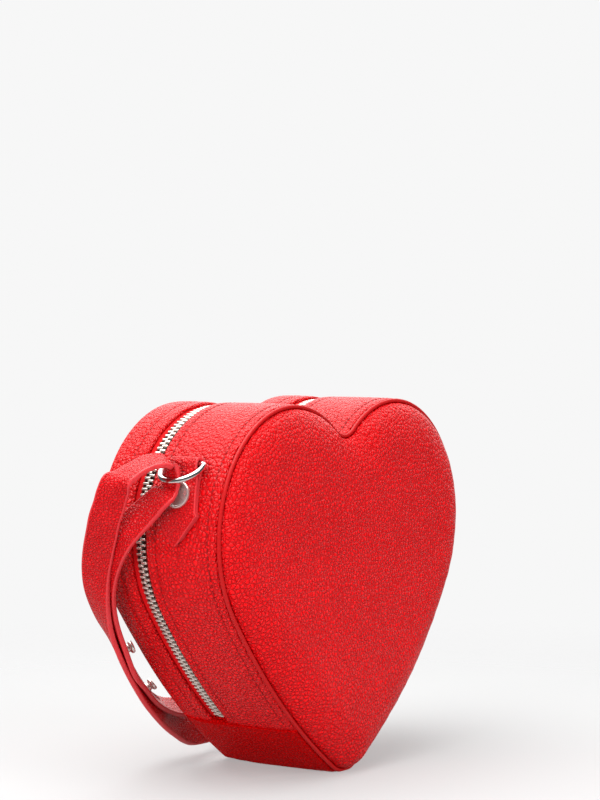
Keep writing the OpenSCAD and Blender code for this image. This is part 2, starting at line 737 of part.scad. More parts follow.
// Studs that hold the strap's ends, at these rows of the route
knob_rows = [2, 4];
shank_share = 0.55;
head_share = 0.4;
module knob(i, side) {
    row = side < 0 ? i : 2 * half_rows - 2 - i;
    c = strap_corners(row);
    mid = (c[0] + c[1] + c[2] + c[3]) / 4;
    n = -strap_frame(row)[1];
    translate(mid + n * (strap_t / 2 + gap)) multmatrix(turn_to(n)) union() {
        cylinder(d = knob_d * shank_share, h = knob_h);
        translate([0, 0, knob_h * (1 - head_share)]) cylinder(d = knob_d, h = knob_h * head_share);
    }
}

function turn_to(n) = let (a = unit(cross(abs(n[2]) < 0.9 ? [0, 0, 1] : [1, 0, 0], n)), b = cross(n, a))
    [[a[0], b[0], n[0], 0], [a[1], b[1], n[1], 0], [a[2], b[2], n[2], 0], [0, 0, 0, 1]];

module strap_studs() {
    color(silver) for (side = [-1, 1]) for (i = knob_rows) knob(i, side);
}

front_panel();
front_padding();
front_lining();
front_piping();
front_zip_band();
front_band_lining();
front_zip_tape();
front_teeth();
bottom_gusset();
bottom_lining();
back_panel_foot();
left_tab();
right_tab();
tab_studs();
strap();
strap_studs();
back_panel();
back_padding();
back_lining();
slip_pocket();
back_zip_band();
back_band_lining();
back_zip_tape();
back_teeth();
zip_slider();
zip_puller();
left_ring();
right_ring();
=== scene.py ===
import math
import bmesh
import bpy
from mathutils import Matrix, Vector, noise


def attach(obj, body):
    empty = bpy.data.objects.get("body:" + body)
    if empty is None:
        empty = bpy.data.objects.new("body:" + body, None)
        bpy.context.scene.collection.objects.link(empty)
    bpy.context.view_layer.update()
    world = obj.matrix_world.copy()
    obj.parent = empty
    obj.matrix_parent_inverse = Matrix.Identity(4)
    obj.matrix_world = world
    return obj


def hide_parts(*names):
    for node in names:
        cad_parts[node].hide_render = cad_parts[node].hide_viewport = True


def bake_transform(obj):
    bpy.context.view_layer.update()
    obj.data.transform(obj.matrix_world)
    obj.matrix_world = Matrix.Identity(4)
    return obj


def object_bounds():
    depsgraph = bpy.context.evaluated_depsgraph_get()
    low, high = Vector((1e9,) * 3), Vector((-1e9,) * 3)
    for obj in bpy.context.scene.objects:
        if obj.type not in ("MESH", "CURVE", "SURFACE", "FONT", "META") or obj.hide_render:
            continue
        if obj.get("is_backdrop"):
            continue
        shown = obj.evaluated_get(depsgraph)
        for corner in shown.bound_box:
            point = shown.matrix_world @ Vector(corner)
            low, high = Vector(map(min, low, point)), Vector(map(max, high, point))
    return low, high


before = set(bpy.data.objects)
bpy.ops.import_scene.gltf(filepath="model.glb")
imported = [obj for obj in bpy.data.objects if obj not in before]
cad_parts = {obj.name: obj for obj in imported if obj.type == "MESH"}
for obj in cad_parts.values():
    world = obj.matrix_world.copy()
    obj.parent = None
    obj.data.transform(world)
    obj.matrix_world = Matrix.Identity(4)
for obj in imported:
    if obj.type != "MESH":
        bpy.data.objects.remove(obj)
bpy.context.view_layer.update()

# Front panel
# The heart's face is one piece of pebbled red leather over foam, sewn into the piping all round.
# It rises steeply from its seam and then slowly to the middle, and dips below the notch.
MM = 0.001
RED = (0.72, 0.0020, 0.0045)
FRONT_SEAM_Y = -31.0
PANEL_IN = 2.05
PANEL_TURN = 1.6
CROWN_MIDDLE = Vector((0, 0, 95.54))
FRONT_EDGE_H = 7.4
FRONT_CROWN_H = 2.6
EDGE_W = 18.0
LOW_FULL = 4.2
LOW_FROM_Z = 100.0
LOW_GROWTH = 1.6
DOME_HALF = (92.0, 84.0)
VALLEY_H = 1.5
VALLEY_HALF = (11.0, 17.0)
PUCKER_H = 0.2
PUCKER_IN = 5.0
PUCKER_W = 4.0
PUCKER_FINENESS = 0.2
EDGE_SHARE = 0.12
EDGE_ROWS = 14
CROWN_ROWS = 28
NOTCH_R = 11.4
LOBE_R = 57.3
FLANK_R = 305.0
TIP_R = 17.8
NOTCH_C = Vector((0, 0, 166.1913))
LOBE_C = Vector((42.7, 0, 112.4))
FLANK_C = Vector((-159.0106, 0, 256.1641))
TIP_C = Vector((0, 0, 17.0))


def slope(v):
    """The angle of a direction in the plane of the heart."""
    return math.atan2(v.z, v.x)


DIP_A = slope(LOBE_C - NOTCH_C)
TOP_A = slope(NOTCH_C - LOBE_C)
LOBE_A = slope(LOBE_C - FLANK_C)
TIP_A = slope(TIP_C - FLANK_C)

# Arcs of the right half outline: centre, radius, 1 where it bulges out, first and last angle
ARCS = [(NOTCH_C, NOTCH_R, -1, -math.pi / 2, DIP_A), (LOBE_C, LOBE_R, 1, TOP_A, LOBE_A),
        (FLANK_C, FLANK_R, 1, LOBE_A, TIP_A), (TIP_C, TIP_R, 1, TIP_A, -math.pi / 2)]
NOTCH_Z = NOTCH_C.z - NOTCH_R
TIP_Z = TIP_C.z - TIP_R


def verts_of(geom):
    return [v for v in geom if isinstance(v, bmesh.types.BMVert)]


def edges_of(geom):
    return [e for e in geom if isinstance(e, bmesh.types.BMEdge)]


def round_heart(bm, ends, arcs, finest=1.3):
    """Spins a section round the arcs one after another, and gives the section at their end."""
    for centre, radius, _, a0, a1 in arcs:
        steps = max(2, round(abs(a1 - a0) * radius / finest))
        ends = bmesh.ops.spin(bm, geom=ends, cent=centre, axis=(0, -1 if a1 > a0 else 1, 0),
                              angle=abs(a1 - a0), steps=steps, use_duplicate=False)["geom_last"]
    return ends


def chain(bm, points, at_z, sign=1):
    """A closed section as vertices and edges in the plane x = 0, from (y, out) points."""
    vs = [bm.verts.new((0, y, at_z + sign * o)) for y, o in points]
    es = [bm.edges.new((a, b)) for a, b in zip(vs, vs[1:] + vs[:1])]
    return vs + es


def both_sides(bm):
    """Adds the left half and joins it to the right one in the plane between them."""
    bmesh.ops.mirror(bm, geom=bm.verts[:] + bm.edges[:] + bm.faces[:], axis="X", merge_dist=1e-4)


def finish(bm, name, *mats, smooth=True):
    """Turns the millimetre mesh into an object at the origin, with its normals outwards."""
    bmesh.ops.recalc_face_normals(bm, faces=bm.faces)
    bmesh.ops.scale(bm, vec=(MM, MM, MM), verts=bm.verts)
    for f in bm.faces:
        f.smooth = smooth
    me = bpy.data.meshes.new(name)
    bm.to_mesh(me)
    bm.free()
    for m in mats:
        me.materials.append(m)
    ob = bpy.data.objects.new(name, me)
    bpy.context.collection.objects.link(ob)
    return ob


def material(name, colour, rough, spec=0.5, metallic=0.0):
    """A plain material, with its node tree and its shader."""
    mat = bpy.data.materials.new(name)
    mat.use_nodes = True
    shader = mat.node_tree.nodes["Principled BSDF"]
    shader.inputs["Base Color"].default_value = (*colour, 1)
    shader.inputs["Roughness"].default_value = rough
    shader.inputs["Specular IOR Level"].default_value = spec
    shader.inputs["Metallic"].default_value = metallic
    return mat, mat.node_tree, shader


def add(tree, kind, links=(), values=(), **props):
    """A node with its links and socket values, both given as (socket, what) pairs."""
    n = tree.nodes.new("ShaderNode" + kind)
    for k, v in props.items():
        setattr(n, k, v)
    for k, v in values:
        n.inputs[k].default_value = v
    for k, v in links:
        tree.links.new(v, n.inputs[k])
    return n


def shade(colour, k):
    """The colour made darker or lighter, as a socket takes it."""
    return (*[c * k for c in colour], 1)


def pebbled(name, colour, pebble, depth, rough=0.38, spec=0.25):
    """Leather with rounded pebbles parted by creases; pebble and depth in millimetres."""
    mat, tree, shader = material(name, colour, rough, spec)
    at = add(tree, "TexCoord").outputs["Object"]
    warp = add(tree, "TexNoise", [("Vector", at)], [("Scale", 300.0), ("Detail", 1.0)])
    bent = add(tree, "VectorMath", [(0, warp.outputs["Color"]), (2, at)],
               [(1, (0.0010, 0.0010, 0.0010))], operation="MULTIPLY_ADD").outputs[0]
    size = [("Scale", 1 / (pebble * MM))]
    dome = add(tree, "TexVoronoi", [("Vector", bent)], size + [("Smoothness", 0.35)],
               feature="SMOOTH_F1")
    dome = add(tree, "MapRange", [("Value", dome.outputs["Distance"])],
               [("From Max", 0.75), ("To Min", 1.0), ("To Max", 0.0)],
               interpolation_type="SMOOTHSTEP")
    edge = add(tree, "TexVoronoi", [("Vector", bent)], size, feature="DISTANCE_TO_EDGE")
    edge = add(tree, "MapRange", [("Value", edge.outputs["Distance"])], [("From Max", 0.20)],
               interpolation_type="SMOOTHSTEP")
    fine = add(tree, "TexNoise", [("Vector", at)], [("Scale", 2400.0), ("Detail", 2.0)])
    h = add(tree, "Math", [(0, dome.outputs[0]), (2, edge.outputs[0])], [(1, 1.3)],
            operation="MULTIPLY_ADD")
    h = add(tree, "Math", [(0, fine.outputs["Fac"]), (2, h.outputs[0])], [(1, 0.25)],
            operation="MULTIPLY_ADD")
    bump = add(tree, "Bump", [("Height", h.outputs[0])], [("Distance", depth * MM)])
    tree.links.new(bump.outputs[0], shader.inputs["Normal"])
    patch = add(tree, "TexNoise", [("Vector", at)], [("Scale", 40.0), ("Detail", 3.0)])
    tone = add(tree, "Mix", [(0, patch.outputs["Fac"])],
               [(6, shade(colour, 0.88)), (7, shade(colour, 1.12))], data_type="RGBA")
    # Painted shade: the base colour is darkened in the creases between the pebbles
    low = add(tree, "MapRange", [("Value", edge.outputs[0])], [("To Min", 0.66)])
    tone = add(tree, "VectorMath", [(0, tone.outputs[2]), ("Scale", low.outputs[0])],
               operation="SCALE")
    tree.links.new(tone.outputs[0], shader.inputs["Base Color"])
    return mat


def seam_distance(x, z):
    """How far inside the outline a place on the face lies."""
    p, near = Vector((abs(x), 0, z)), CROWN_MIDDLE.z
    for centre, radius, _, a0, a1 in ARCS:
        if min(a0, a1) <= slope(p - centre) <= max(a0, a1):
            near = min(near, abs((p - centre).length - radius))
    return near


def crown(x, z, edge_h, crown_h, low_h):
    """Height of the padded face: round edge, broad dome, fuller low down, dip at the notch."""
    d = max(seam_distance(x, z) - PANEL_IN, 0)
    near = min(d / EDGE_W, 1)
    dome = max(0, 1 - (x / DOME_HALF[0]) ** 2 - ((z - CROWN_MIDDLE.z) / DOME_HALF[1]) ** 2)
    dip = math.exp(-(x / VALLEY_HALF[0]) ** 2 - (max(NOTCH_Z - z, 0) / VALLEY_HALF[1]) ** 2)
    pucker = PUCKER_H * noise.noise(Vector((x, 0, z)) * PUCKER_FINENESS)
    pucker *= math.exp(-((d - PUCKER_IN) / PUCKER_W) ** 2)
    full = edge_h + crown_h * dome + low_h * min(max(1 - z / LOW_FROM_Z, 0) * LOW_GROWTH, 1)
    return math.sqrt(1 - (1 - near) ** 2) * full - VALLEY_H * near * dip + pucker


def crowned_heart(edge_h, crown_h, low_h, seam_y, side):
    """A heart with its seam turned under; its rows close in on the middle and rise as a crown."""
    bm = bmesh.new()
    round_heart(bm, [bm.verts.new((0, seam_y, NOTCH_Z - PANEL_IN))], ARCS)
    both_sides(bm)
    loop = bm.edges[:]
    under = verts_of(bmesh.ops.extrude_edge_only(bm, edges=loop)["geom"])
    bmesh.ops.translate(bm, vec=(0, -side * PANEL_TURN, 0), verts=under)
    under = set(under)
    shares = [EDGE_SHARE * (i / EDGE_ROWS) ** 1.5 for i in range(EDGE_ROWS + 1)]
    shares += [EDGE_SHARE + (1 - EDGE_SHARE) * i / CROWN_ROWS for i in range(1, CROWN_ROWS + 1)]
    for before, now in zip(shares, shares[1:]):
        made = bmesh.ops.extrude_edge_only(bm, edges=loop)["geom"]
        ring = verts_of(made)
        loop = edges_of(made)
        if now == shares[-1]:
            bmesh.ops.pointmerge(bm, verts=ring, merge_co=CROWN_MIDDLE)
            break
        k = (1 - now) / (1 - before)
        bmesh.ops.scale(bm, vec=(k, 1, k), space=Matrix.Translation(-CROWN_MIDDLE), verts=ring)
    for v in bm.verts:
        if v not in under:
            v.co.y = seam_y + side * crown(v.co.x, v.co.z, edge_h, crown_h, low_h)
    return bm


face_leather = pebbled("face_leather", RED, pebble=1.9, depth=0.42, rough=0.34, spec=0.20)
bm = crowned_heart(FRONT_EDGE_H, FRONT_CROWN_H, LOW_FULL, FRONT_SEAM_Y, -1)
front = finish(bm, "front_face", face_leather)
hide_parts("front_panel")
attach(front, "front_half")

# Back panel
# The same heart in one piece, flatter and without piping, sewn to the back zip band. It stands out
# further over the lobes than at the tip.
BACK_SEAM_Y = 31.0
BACK_EDGE_H = 4.0
BACK_CROWN_H = 2.0
LEAN = 2.6
LEAN_FROM_Y = 16.0
LEAN_DEPTH = 15.0
LEAN_FROM_Z = 60.0
LEAN_RUN = 55.0


def part_way(value, start, run):
    """The share of a run that a value has passed, from 0 to 1."""
    return min(max((value - start) / run, 0), 1)


def lean_back(bm):
    """Moves what is near the back seam out over the lobes."""
    for v in bm.verts:
        up = part_way(v.co.z, LEAN_FROM_Z, LEAN_RUN)
        v.co.y += LEAN * up * part_way(v.co.y, LEAN_FROM_Y, LEAN_DEPTH)


bm = crowned_heart(BACK_EDGE_H, BACK_CROWN_H, 0.0, BACK_SEAM_Y, 1)
lean_back(bm)
back = finish(bm, "back_face", face_leather)
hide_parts("back_panel", "back_panel_foot")
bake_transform(back)

# Piping
# A cord inside a sleeve of smooth leather, sewn all round the front seam between panel and gusset.
# Its red is darker than that of the pebbled leather.
PIPING_R = 0.95
PIPING_Y = -30.9
PIPING_IN = 1.0
WELT_RED = (0.40, 0.0008, 0.0016)


def smooth_finish(name, colour, rough, scale, depth, spec=0.35):
    """Finished leather, edge paint or thread: one colour with a faint unevenness."""
    mat, tree, shader = material(name, colour, rough, spec)
    at = add(tree, "TexCoord").outputs["Object"]
    tex = add(tree, "TexNoise", [("Vector", at)], [("Scale", scale), ("Detail", 3.0)])
    bump = add(tree, "Bump", [("Height", tex.outputs["Fac"])], [("Distance", depth * MM)])
    tree.links.new(bump.outputs[0], shader.inputs["Normal"])
    tone = add(tree, "Mix", [(0, tex.outputs["Fac"])],
               [(6, shade(colour, 0.82)), (7, shade(colour, 1.15))], data_type="RGBA")
    tree.links.new(tone.outputs[2], shader.inputs["Base Color"])
    return mat


def arc(y, o, r, a0, a1, n=7):
    """Points of an arc of a section, between two angles in degrees."""
    turn = [math.radians(a0 + (a1 - a0) * i / (n - 1)) for i in range(n)]
    return [(y + r * math.cos(t), o + r * math.sin(t)) for t in turn]


welt_leather = smooth_finish("welt_leather", WELT_RED, 0.50, 700.0, 0.10, 0.30)
bm = bmesh.new()
round_heart(bm, chain(bm, arc(PIPING_Y, -PIPING_IN, PIPING_R, 0, 342, 20), NOTCH_Z), ARCS)
both_sides(bm)

# It is pressed flat where the bag stands on it
for v in bm.verts:
    v.co.z = max(v.co.z, 0)
piping = finish(bm, "piping", welt_leather)
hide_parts("front_piping")
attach(piping, "front_half")

# Front zip band
# The wide leather strip from the piping to the zip. Its edge is turned under beside the teeth, and
# a row of stitches sinks into it along each side.
SEAM_Z = 23.0
SEAM_A = math.asin((SEAM_Z - FLANK_C.z) / FLANK_R)
BAND_ARCS = ARCS[:2] + [(FLANK_C, FLANK_R, 1, LOBE_A, SEAM_A)]
BAND_T = 1.8
BAND_FRONT_Y = -29.85
BAND_ZIP_Y = 7.2
PIPING_EDGE_R = 1.3
ZIP_EDGE_R = 0.9
STITCH_FRONT_Y = -25.4
STITCH_ZIP_Y = 2.4
PUFF = 0.25
GROOVE = 0.32
GROOVE_W = 0.8


def band_section(y0, y1, rows, front_r, back_r, lift=0.0, n=48):
    """A closed section: puffed top with a groove along each stitched row, and round edges."""
    top = []
    for i in range(n):
        y = y0 + front_r + (y1 - y0 - front_r - back_r) * i / (n - 1)
        o = lift + PUFF * math.sqrt(max(0, math.sin(math.pi * i / (n - 1))))
        top.append((y, o - sum(GROOVE * math.exp(-((y - r) / GROOVE_W) ** 2) for r in rows)))
    front_edge = arc(y0 + front_r, lift - front_r, front_r, 180, 98)
    back_edge = arc(y1 - back_r, lift - back_r, back_r, 82, 0)
    return [(y1, -BAND_T), (y0, -BAND_T)] + front_edge + top + back_edge


def gusset_strip(name, section, mat):
    """A strip with this section, from one side of the tip over both lobes to the other."""
    bm = bmesh.new()
    ends = round_heart(bm, chain(bm, section, NOTCH_Z), BAND_ARCS)
    bmesh.ops.edgeloop_fill(bm, edges=edges_of(ends))
    both_sides(bm)
    lean_back(bm)
    return finish(bm, name, mat)


gusset_leather = pebbled("gusset_leather", RED, pebble=1.9, depth=0.46, spec=0.27)
front_section = band_section(BAND_FRONT_Y, BAND_ZIP_Y, (STITCH_FRONT_Y, STITCH_ZIP_Y),
                             PIPING_EDGE_R, ZIP_EDGE_R)
front_band = gusset_strip("front_band", front_section, gusset_leather)
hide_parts("front_zip_band")
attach(front_band, "front_half")

# Back zip band
# The narrow strip behind the zip, turned under beside the teeth and sewn to the back panel.
BACK_BAND_Y = 15.9
BACK_EDGE_R = 1.6
STITCH_BACK_Y = 21.4
back_section = band_section(BACK_BAND_Y, BACK_SEAM_Y, (STITCH_BACK_Y,), ZIP_EDGE_R, BACK_EDGE_R,
                            n=28)
back_band = gusset_strip("back_band", back_section, gusset_leather)
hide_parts("back_zip_band")
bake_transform(back_band)

# Bottom gusset
# The lower strip round the tip is one piece from piping to back panel. It laps over both bands.
# Its top edges are rolled and higher at the back, and the bag's weight presses it flat underneath.
LAP = 0.75
BOTTOM_EDGE_R = 3.4
ROLL_STEPS = ((0.30, -0.10), (0.22, -0.24), (0.10, -0.36))
BACK_RISE = 3.4
RISE_FROM_Z = 9.0
RISE_FROM_Y = 12.0
RISE_DEPTH = 16.0
CORNER_RISE = 2.2
CORNER_FROM_Y = 8.0
# Painted shade: the bottom piece is the bag's red leather made darker, as it faces the floor
SHADED_LOW_RED = (0.50, 0.0004, 0.0008)
LOW_ARCS = [(TIP_C, TIP_R, 1, -math.pi / 2, TIP_A), (FLANK_C, FLANK_R, 1, TIP_A, SEAM_A)]
shaded_low_leather = pebbled("shaded_low_leather", SHADED_LOW_RED, pebble=1.7, depth=0.26, spec=0.03)
bottom_section = band_section(BAND_FRONT_Y, BACK_SEAM_Y, (STITCH_FRONT_Y,), PIPING_EDGE_R,
                              BOTTOM_EDGE_R, LAP)
bm = bmesh.new()
ends = round_heart(bm, chain(bm, bottom_section, TIP_Z, -1), LOW_ARCS)

# Its end is rolled in over the band's, in steps along the flank and inwards
lip = Vector((math.cos(SEAM_A), 0, math.sin(SEAM_A)))
rise = Vector((-lip.z, 0, lip.x))
for along, inwards in ROLL_STEPS:
    ends = bmesh.ops.extrude_edge_only(bm, edges=edges_of(ends))["geom"]
    moved = verts_of(ends)
    bmesh.ops.translate(bm, vec=rise * along, verts=moved)
    for v in moved:
        if (v.co - FLANK_C).xz.length > FLANK_R - 1:
            v.co += lip * inwards
bmesh.ops.edgeloop_fill(bm, edges=edges_of(ends))
for v in bm.verts:
    up = part_way(v.co.z, RISE_FROM_Z, SEAM_Z - RISE_FROM_Z)
    up *= part_way(v.co.y, RISE_FROM_Y, RISE_DEPTH) ** 2
    v.co += rise * (BACK_RISE * up)
both_sides(bm)

# The underside is flat, but for its back corner, which is rounded upwards
for v in bm.verts:
    corner = max((v.co.y - CORNER_FROM_Y) / (BACK_SEAM_Y - CORNER_FROM_Y), 0)
    v.co.z = max(v.co.z, CORNER_RISE * corner ** 2)
bottom = finish(bm, "bottom_piece", shaded_low_leather)
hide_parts("bottom_gusset")
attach(bottom, "front_half")

# Stitches
# Short stitches of dark red thread lie in the grooves of the zip bands, a few millimetres apart.
# They hold the bands' edges to what is under them.
STITCH_PITCH = 3.2
STITCH_L = 2.3
STITCH_W = 0.75
STITCH_SINK = 0.10
STITCH_END_Z = SEAM_Z + 1.5
THREAD_RED = (0.26, 0.001, 0.002)


def heart_at(s, off=0.0):
    """Place and way out at a distance along the line that lies off the outline; left is minus."""
    rest = abs(s)
    for centre, radius, bulge, a0, a1 in ARCS:
        r = radius + bulge * off
        run = r * abs(a1 - a0)
        if rest <= run:
            break
        rest -= run
    a = a0 + (a1 - a0) * rest / run
    side = math.copysign(1, s)
    way = Vector((math.cos(a), 0, math.sin(a)))
    p, n = centre + way * r, way * bulge
    return Vector((side * p.x, 0, p.z)), Vector((side * n.x, 0, n.z))


def band_run(off, end_z):
    """Length of the line from the notch to a height on the flank."""
    run = sum((r + b * off) * abs(a1 - a0) for _, r, b, a0, a1 in ARCS[:2])
    end = math.asin((end_z - FLANK_C.z) / (FLANK_R + off))
    return run + (FLANK_R + off) * (LOBE_A - end)


def set_on(p, out, y):
    """A frame with Z out of the bag, X along the gusset and Y in the bag's depth."""
    run = Vector((0, 1, 0)).cross(out)
    m = Matrix((run, (0, 1, 0), out)).transposed().to_4x4()
    m.translation = p + Vector((0, y, 0))
    return m


def template(bm):
    """A mesh that is only copied from."""
    me = bpy.data.meshes.new("template")
    bm.to_mesh(me)
    bm.free()
    return me


def copies(piece, frames):
    """One mesh with a copy of the piece at each frame."""
    bm = bmesh.new()
    for m in frames:
        me = piece.copy()
        me.transform(m)
        bm.from_mesh(me)
        bpy.data.meshes.remove(me)
    return bm


thread = smooth_finish("thread", THREAD_RED, 0.55, 4000.0, 0.05)
bm = bmesh.new()
bmesh.ops.create_uvsphere(bm, u_segments=10, v_segments=6, radius=1,
                          matrix=Matrix.Diagonal((STITCH_L / 2, STITCH_W / 2, STITCH_W * 0.4, 1))
                          @ Matrix.Rotation(math.pi / 2, 4, "Y"))
stitch = template(bm)
count = int(band_run(0, STITCH_END_Z) / STITCH_PITCH)
for name, y in (("stitches_front", STITCH_FRONT_Y), ("stitches_zip", STITCH_ZIP_Y),
                ("stitches_back", STITCH_BACK_Y)):
    spots = [heart_at((i + 0.5) * STITCH_PITCH, -STITCH_SINK) for i in range(-count, count)]
    bm = copies(stitch, [set_on(p, out, y) for p, out in spots])
    lean_back(bm)
    stitches = finish(bm, name, thread)
    if name == "stitches_back":
        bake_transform(stitches)
    else:
        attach(stitches, "front_half")

# Zip tapes and linings
# Woven tape carries the teeth under each band, with painted shade under the teeth and where it
# turns down beside them. The bag is lined with plain cloth, and foam pads the two panels.
ZIP_Y = 11.2
TAPE_RED = (0.50, 0.002, 0.004)
TAPE_SHADE = (0.05, 0.010, 0.008)
SHADE_HALF = (2.2, 2.9)
LINING_RED = (0.24, 0.012, 0.02)
FOAM_CREAM = (0.80, 0.78, 0.70)
FRONT_TAPE = [(11.1, -3.5), (1.0, -2.6), (1.0, -2.0), (8.0, -2.0), (11.1, -3.0)]
BACK_TAPE = [(11.3, -3.5), (23.4, -2.6), (23.4, -2.0), (14.4, -1.7), (11.3, -3.0)]


def woven(name, colour, pitch, depth):
    """Cloth with two directions of thread; pitch and depth in millimetres."""
    mat, tree, shader = material(name, colour, 0.85, 0.2)
    at = add(tree, "TexCoord").outputs["Object"]
    rows = [add(tree, "TexWave", [("Vector", at)], [("Scale", 0.05 / (pitch * MM) * 6.28)],
                bands_direction=d).outputs["Fac"] for d in "XZ"]
    both = add(tree, "Math", [(0, rows[0]), (1, rows[1])], operation="MULTIPLY")
    bump = add(tree, "Bump", [("Height", both.outputs[0])], [("Distance", depth * MM)])
    tree.links.new(bump.outputs[0], shader.inputs["Normal"])
    return mat, tree, shader, at


def dress(node, mat):
    """Gives a CAD node that stays as it is one finish."""
    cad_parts[node].data.materials.clear()
    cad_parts[node].data.materials.append(mat)


tape_cloth, tree, shader, at = woven("tape_cloth", TAPE_RED, 0.8, 0.08)
off = add(tree, "SeparateXYZ", [(0, at)]).outputs["Y"]
off = add(tree, "Math", [(0, off)], [(1, ZIP_Y * MM)], operation="SUBTRACT")
off = add(tree, "Math", [(0, off.outputs[0])], operation="ABSOLUTE")
# Painted shade: close to the chain the tape's colour goes to TAPE_SHADE, the shade in the recess
teeth_shade_mask = add(tree, "MapRange", [("Value", off.outputs[0])],
             [("From Min", SHADE_HALF[0] * MM), ("From Max", SHADE_HALF[1] * MM)])
tone = add(tree, "Mix", [(0, teeth_shade_mask.outputs[0])],
           [(6, shade(TAPE_SHADE, 1)), (7, shade(TAPE_RED, 1))], data_type="RGBA")
tree.links.new(tone.outputs[2], shader.inputs["Base Color"])
lining_cloth = woven("lining_cloth", LINING_RED, 0.5, 0.06)[0]
foam = smooth_finish("foam", FOAM_CREAM, 0.9, 900.0, 0.1)
for node in ("front_lining", "front_band_lining", "bottom_lining", "back_lining", "slip_pocket",
             "back_band_lining"):
    dress(node, lining_cloth)
for node in ("front_padding", "back_padding"):
    dress(node, foam)

front_tape = gusset_strip("front_tape", FRONT_TAPE, tape_cloth)
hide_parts("front_zip_tape")
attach(front_tape, "front_half")
back_tape = gusset_strip("back_tape", BACK_TAPE, tape_cloth)
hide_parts("back_zip_tape")
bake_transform(back_tape)

# Zip teeth
# Two rows of rounded metal teeth, clamped on the tapes' edges so that each row's heads lie between
# the other's. On the right they end inside the slider.
PITCH = 2.58
CHAIN_IN = -2.4
TOOTH = (1.08, 3.0, 2.2)
TOOTH_ROUND = 0.34
TOOTH_OFF = 1.0
SLIDER_Z = 34.0
TEETH_METAL = (0.84, 0.77, 0.70)


def bright(name, colour, rough, metal=1.0):
    """Polished metal with faint wear in its gloss."""
    mat, tree, shader = material(name, colour, rough, 0.5, metal)
    at = add(tree, "TexCoord").outputs["Object"]
    tex = add(tree, "TexNoise", [("Vector", at)], [("Scale", 350.0), ("Detail", 4.0)])
    worn = add(tree, "MapRange", [("Value", tex.outputs["Fac"])],
               [("From Min", 0.3), ("From Max", 0.7),
                ("To Min", rough * 0.7), ("To Max", rough * 1.5)])
    tree.links.new(worn.outputs[0], shader.inputs["Roughness"])
    return mat


tooth_metal = bright("tooth_metal", TEETH_METAL, 0.20, 0.8)
bm = bmesh.new()
bmesh.ops.create_cube(bm, size=1, matrix=Matrix.Diagonal((*TOOTH, 1)))
bmesh.ops.bevel(bm, geom=bm.edges[:], offset=TOOTH_ROUND, segments=3, affect="EDGES", profile=0.5,
                material=-1)
tooth = template(bm)
left_count = math.ceil(band_run(CHAIN_IN, SEAM_Z) / PITCH)
right_count = math.floor(band_run(CHAIN_IN, SLIDER_Z) / PITCH - 1)
for name, first, side in (("teeth_front_row", 0.5, -1), ("teeth_back_row", 1.0, 1)):
    steps = range(-left_count, right_count - (side > 0))
    spots = [heart_at((i + first) * PITCH, CHAIN_IN) for i in steps]
    bm = copies(tooth, [set_on(p, out, ZIP_Y + side * TOOTH_OFF) for p, out in spots])
    teeth = finish(bm, name, tooth_metal)
    if side < 0:
        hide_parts("front_teeth")
        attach(teeth, "front_half")
    else:
        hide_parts("back_teeth")
        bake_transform(teeth)

# Slider and puller
# Cast metal, polished. The slider holds the teeth apart at the zip's right end, and its puller
# hangs from the pin under its bridge.
NICKEL = (0.82, 0.80, 0.78)
polished = bright("polished", NICKEL, 0.10)
dress("zip_slider", polished)
dress("zip_puller", polished)

# Tabs
# A strip of leather with painted edges is led over the ring's bar and back down on itself. It
# widens downwards and ends in a point, and a stud holds its two layers together on the gusset.
TAB_Y = -10.1
TAB_R0 = 57.45
TAB_T = 1.5
ROLL_R = 3.15
BAR_A = math.radians(33)
TAB_HALF = 10.2
NECK_HALF = 7.2
TAB_DOWN = 22.0
TAB_POINT = 13.0
TAB_L = TAB_DOWN + TAB_POINT
TAB_TIP = 2.0
PART_DOWN = 7.5
EDGE_RED = (0.55, 0.026, 0.032)
STRAP_RED = (0.66, 0.002, 0.0055)


def around(a, r, centre=LOBE_C):
    """The place at an angle and a radius round a centre."""
    return centre + r * Vector((math.cos(a), 0, math.sin(a)))


def down_lobe(d, r, centre=LOBE_C):
    """The place that lies a distance down the lobe from the bar."""
    return around(BAR_A - d / LOBE_R, r, centre)


def tab_half(d):
    """Half width at a distance below the bar: it widens evenly and then runs to a point."""
    if d < TAB_DOWN:
        return NECK_HALF + (TAB_HALF - NECK_HALF) * d / TAB_DOWN
    k = min((d - TAB_DOWN) / TAB_POINT, 1)
    return max(0.5, TAB_HALF * (1 - k) + 0.9 * math.sqrt(max(0, 1 - k ** 8)))


# Sides of a ribbon's section that make its two round edges
EDGE_PAINT_SIDES = {*range(4), *range(9, 18), *range(23, 28)}


